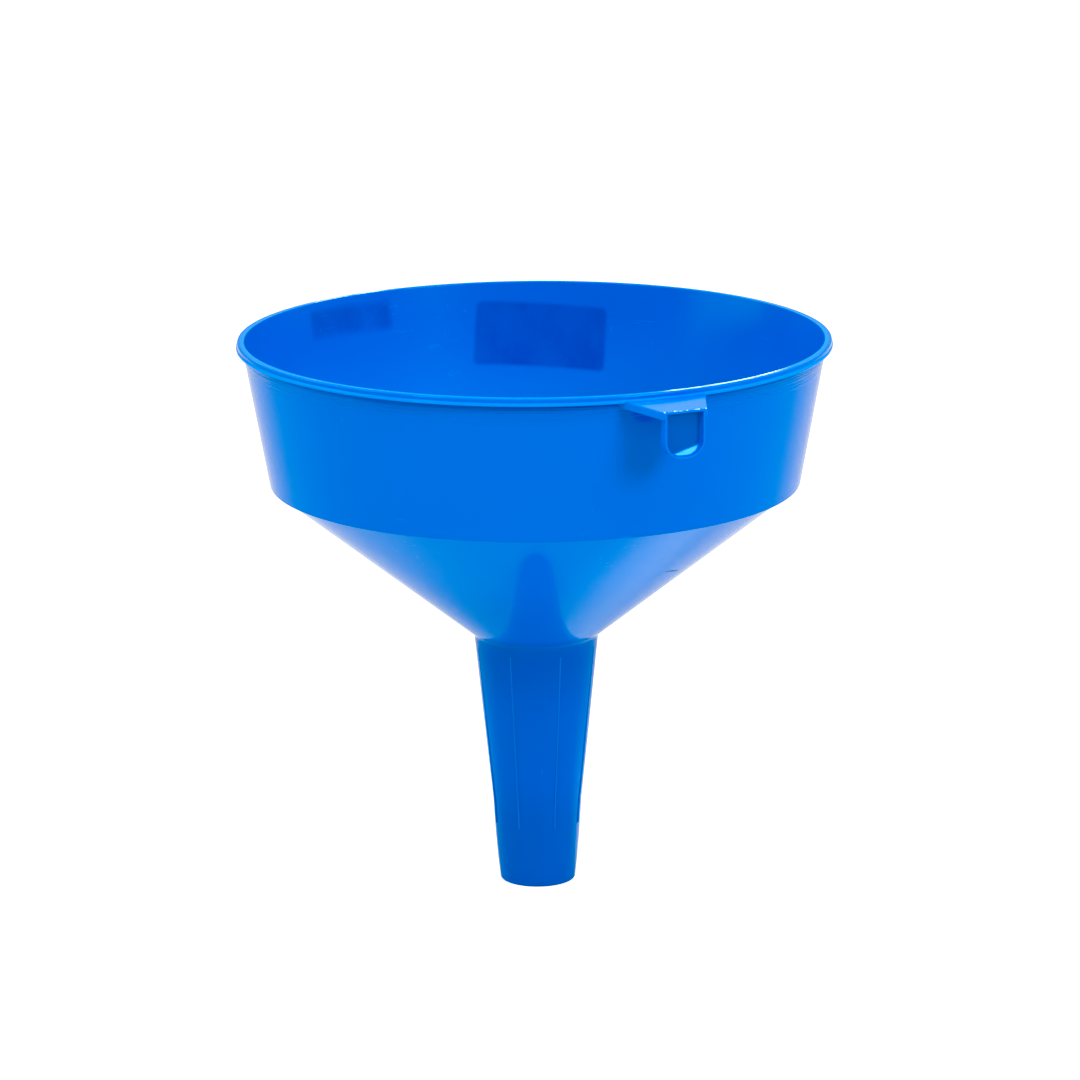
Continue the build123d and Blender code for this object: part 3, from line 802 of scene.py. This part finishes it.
# --- blank stickers: thin curved film with a soft edge ----------------------------
def sticker(name, spec, node):
    a = math.radians(spec["az"])
    out = (math.sin(a), -math.cos(a))
    across = (-out[1], out[0])
    t = math.radians(spec["tilt"])
    nu, nv = 48, 22
    r = spec["r"]
    rings = []

    def place(u, v, lift):
        uu = u * math.cos(t) - v * math.sin(t)
        vv = u * math.sin(t) + v * math.cos(t)
        z = spec["z"] + vv
        R = wall_out(z) + lift
        d = math.sqrt(R * R - uu * uu)
        return (out[0] * d + across[0] * uu, out[1] * d + across[1] * uu, z)

    # outline of the rounded rectangle, then inset rings down to a flat grid
    def outline(inset, n=10):
        hw, hh = spec["w"] / 2 - inset, spec["h"] / 2 - inset
        rr = max(r - inset, 0.3)
        pts = []
        for cx, cy, a0 in ((hw - rr, hh - rr, 0), (-hw + rr, hh - rr, 90), (-hw + rr, -hh + rr, 180), (hw - rr, -hh + rr, 270)):
            for k in range(n + 1):
                b = math.radians(a0 + 90 * k / n)
                pts.append((cx + rr * math.cos(b), cy + rr * math.sin(b)))
        # extra points along the long straight sides so the film follows the curve
        full = []
        for i in range(len(pts)):
            p, q = pts[i], pts[(i + 1) % len(pts)]
            full.append(p)
            gap = math.hypot(q[0] - p[0], q[1] - p[1])
            k = int(gap / 2.0)
            for j in range(1, k + 1):
                s = j / (k + 1)
                full.append((p[0] + (q[0] - p[0]) * s, p[1] + (q[1] - p[1]) * s))
        return full

    foot = outline(0.0)
    m = len(foot)
    verts, faces = [], []
    layers = [(0.0, 0.0), (0.02, LABEL_T * 0.6), (0.1, LABEL_T * 0.97)]
    for k in range(1, 9):
        layers.append((0.1, LABEL_T))
    hw, hh = spec["w"] / 2, spec["h"] / 2
    for li, (inset, lift) in enumerate(layers):
        shrink = 1.0 if li < 3 else 1.0 - (li - 2) / 8.6
        for x, y in foot:
            sx, sy = (hw - inset) / hw, (hh - inset) / hh
            verts.append(place(x * sx * shrink, y * sy * shrink, lift))
    base = [place(x, y, -0.03) for x, y in foot]
    L = len(layers)
    for li in range(L - 1):
        for i in range(m):
            j = (i + 1) % m
            faces.append((li * m + i, li * m + j, (li + 1) * m + j, (li + 1) * m + i))
    centre = len(verts)
    verts.append(place(0, 0, LABEL_T))
    for i in range(m):
        faces.append(((L - 1) * m + i, (L - 1) * m + (i + 1) % m, centre))
    # back of the film, shrunk rings at the wall's surface
    b0 = len(verts)
    verts.extend(place(x, y, 0.0) for x, y in foot)
    # reuse ring 0 as the back's border
    prev = 0
    for k in range(1, 9):
        s = 1.0 - k / 8.6
        start = len(verts)
        verts.extend(place(x * s, y * s, 0.0) for x, y in foot)
        a0 = 0 if k == 1 else prev
        for i in range(m):
            j = (i + 1) % m
            faces.append((a0 + j, a0 + i, start + i, start + j))
        prev = start
    c2 = len(verts)
    verts.append(place(0, 0, 0.0))
    for i in range(m):
        faces.append((prev + (i + 1) % m, prev + i, c2))
    ob = mesh_object(name, verts, faces, [M_PAPER])
    bm = bmesh.new()
    bm.from_mesh(ob.data)
    loose = [v for v in bm.verts if not v.link_faces]
    bmesh.ops.delete(bm, geom=loose, context="VERTS")
    bmesh.ops.recalc_face_normals(bm, faces=bm.faces)
    bm.to_mesh(ob.data)
    bm.free()
    piece(ob, [node])
    return ob


sticker("back_label_visual", BACK_LABEL, "back_label")
sticker("side_label_visual", SIDE_LABEL, "side_label")

# --------------------------------------------------------------------------
# stage: a white sweep, a soft key from the right, a fill, a top light
# --------------------------------------------------------------------------
SKY_FRONT, SKY_BACK, SKY_LOW = 0.2, 1.35, 0.35
KEY = (44, 27, 21, 0.48)
FILL = (-46, 33, 12, 0.20)
SIDE = (-88, 22, 50, 0.30)
RIGHT = (84, 32, 14, 0.07)
FLOOR_GLOW, FLOOR_LIT, CARD = 0.6, 0.45, 2.6
sc = bpy.context.scene
bpy.ops.mesh.primitive_plane_add(size=60, location=(0, 0, 0))
ground = bpy.context.object
ground.name = "floor"
g = Graph("floor_pale")
g.put(g.bsdf.inputs["Base Color"], g.mix(g.ramp(g.noise(g.coord, 260.0, 2.0), 0.3, 0.7), (0.65, 0.65, 0.65, 1), (0.67, 0.67, 0.67, 1)))
g.bsdf.inputs["Roughness"].default_value = 0.9
g.bsdf.inputs["Specular IOR Level"].default_value = 0.0
# the picture's ground is burnt out to white; what the funnel mirrors is not
g.bsdf.inputs["Emission Color"].default_value = (1, 1, 1, 1)
path = g.nt.nodes.new("ShaderNodeLightPath")
# painted light: a glowing patch of ground behind on the right, seen only in reflections
lit = g.mul(g.mul(g.ramp(g.x, 0.012, 0.036), g.ramp(g.x, 0.12, 0.22, 1.0, 0.0)), g.ramp(g.y, -0.01, 0.04))
lit = g.mul(lit, g.ramp(g.y, 0.055, 0.13, 1.0, 0.0))
g.put(g.bsdf.inputs["Emission Strength"], g.add(g.mul(path.outputs["Is Camera Ray"], FLOOR_GLOW), g.mul(path.outputs["Is Glossy Ray"], g.add(g.mul(lit, FLOOR_LIT), 0.04))))
ground.data.materials.append(g.mat)

world = bpy.data.worlds.new("studio")
sc.world = world
world.use_nodes = True
nt = world.node_tree
# the room: dim near the horizon, bright overhead and behind, dimmer in front
def wmath(op, x, y=0.0):
    n = nt.nodes.new("ShaderNodeMath")
    n.operation = op
    for sock, v in zip(n.inputs, (x, y)):
        if isinstance(v, bpy.types.NodeSocket):
            nt.links.new(v, sock)
        else:
            sock.default_value = v
    return n.outputs[0]


def wramp(v, lo, hi, p, q):
    n = nt.nodes.new("ShaderNodeMapRange")
    n.interpolation_type = "SMOOTHSTEP"
    nt.links.new(v, n.inputs["Value"])
    for key, val in (("From Min", lo), ("From Max", hi), ("To Min", p), ("To Max", q)):
        n.inputs[key].default_value = val
    return n.outputs[0]


dirn = nt.nodes.new("ShaderNodeTexCoord")
sep = nt.nodes.new("ShaderNodeSeparateXYZ")
nt.links.new(dirn.outputs["Generated"], sep.inputs[0])
behind = wramp(sep.outputs[1], -0.45, 0.4, SKY_FRONT, SKY_BACK)
low = wramp(sep.outputs[2], 0.23, 0.40, SKY_LOW, 1.0)
# the picture's background is plain white, above the floor's horizon too
seen = nt.nodes.new("ShaderNodeLightPath").outputs["Is Camera Ray"]
nt.links.new(wmath("MAXIMUM", wmath("MULTIPLY", behind, low), wmath("MULTIPLY", seen, 1.4)), nt.nodes["Background"].inputs[1])
nt.nodes["Background"].inputs[0].default_value = (1, 1, 1, 1)


def sun(name, az, el, angle, level):
    """level is the irradiance of a card that faces the light, divided by pi."""
    a, e = math.radians(az), math.radians(el)
    to = Vector((math.sin(a) * math.cos(e), -math.cos(a) * math.cos(e), math.sin(e)))
    d = bpy.data.lights.new(name, "SUN")
    d.angle = math.radians(angle)
    d.energy = level * math.pi
    o = bpy.data.objects.new(name, d)
    o.location = to * 3
    o.rotation_euler = (-to).to_track_quat("-Z", "Y").to_euler()
    sc.collection.objects.link(o)
    return o


sun("key", *KEY)
sun("fill", *FILL)
sun("side", *SIDE)
sun("right", *RIGHT)
# a long strip light overhead, in front
strip = bpy.data.lights.new("strip", "AREA")
strip.shape = "RECTANGLE"
strip.size, strip.size_y = 2.6, 0.3
strip.energy = 0.38 * math.pi ** 2 * 1.75 ** 2
so = bpy.data.objects.new("strip", strip)
so.location = (0.15, -0.9, 1.7)
so.rotation_euler = (Vector((0, 0, 0.2)) - so.location).to_track_quat("-Z", "Y").to_euler()
sc.collection.objects.link(so)
# two thin bright cards far behind, which the rim's flat top mirrors
for tag, x, z, wide, tall, tilt in (("a", 0.157, 0.682, 0.095, 0.014, 9.8), ("b", -0.152, 0.608, 0.056, 0.010, 9.6)):
    card = bpy.data.lights.new("card_" + tag, "AREA")
    card.shape = "RECTANGLE"
    card.size, card.size_y = wide, tall
    card.energy = CARD * math.pi * wide * tall * math.pi
    co = bpy.data.objects.new("card_" + tag, card)
    co.location = (x, 2.0, z)
    co.rotation_euler = (Matrix.Rotation(math.radians(tilt), 3, "Y") @ Matrix.Rotation(math.radians(-90), 3, "X")).to_euler()
    sc.collection.objects.link(co)

# --------------------------------------------------------------------------
# camera: fitted to the photograph's viewpoint
# --------------------------------------------------------------------------
cam_d = bpy.data.cameras.new("camera")
cam = bpy.data.objects.new("camera", cam_d)
sc.collection.objects.link(cam)
cam_d.sensor_fit = "HORIZONTAL"
cam_d.sensor_width = 36.0
cam_d.lens = 4977.42 / 1080 * 36.0
cam_d.clip_start = 0.05
cam_d.clip_end = 100
PITCH, YAW, ROLL = 13.8215, -0.0509, -0.3658
rot = Matrix.Rotation(math.radians(YAW), 4, "Z") @ Matrix.Rotation(math.radians(90 - PITCH), 4, "X") @ Matrix.Rotation(math.radians(ROLL), 4, "Z")
cam.matrix_world = Matrix.Translation((0, -2.045627, 0.652094)) @ rot
sc.camera = cam

# the picture's own response: deep blues fall outside the display's red range
sc.view_settings.view_transform = "Standard"
sc.view_settings.look = "None"
sc.view_settings.use_curve_mapping = True
cm = sc.view_settings.curve_mapping
cm.extend = "EXTRAPOLATED"
red = cm.curves[0]
for px, py in ((0.06, 0.0), (0.115, 0.003), (0.15, 0.045), (0.30, 0.24)):
    red.points.new(px, py)
cm.update()
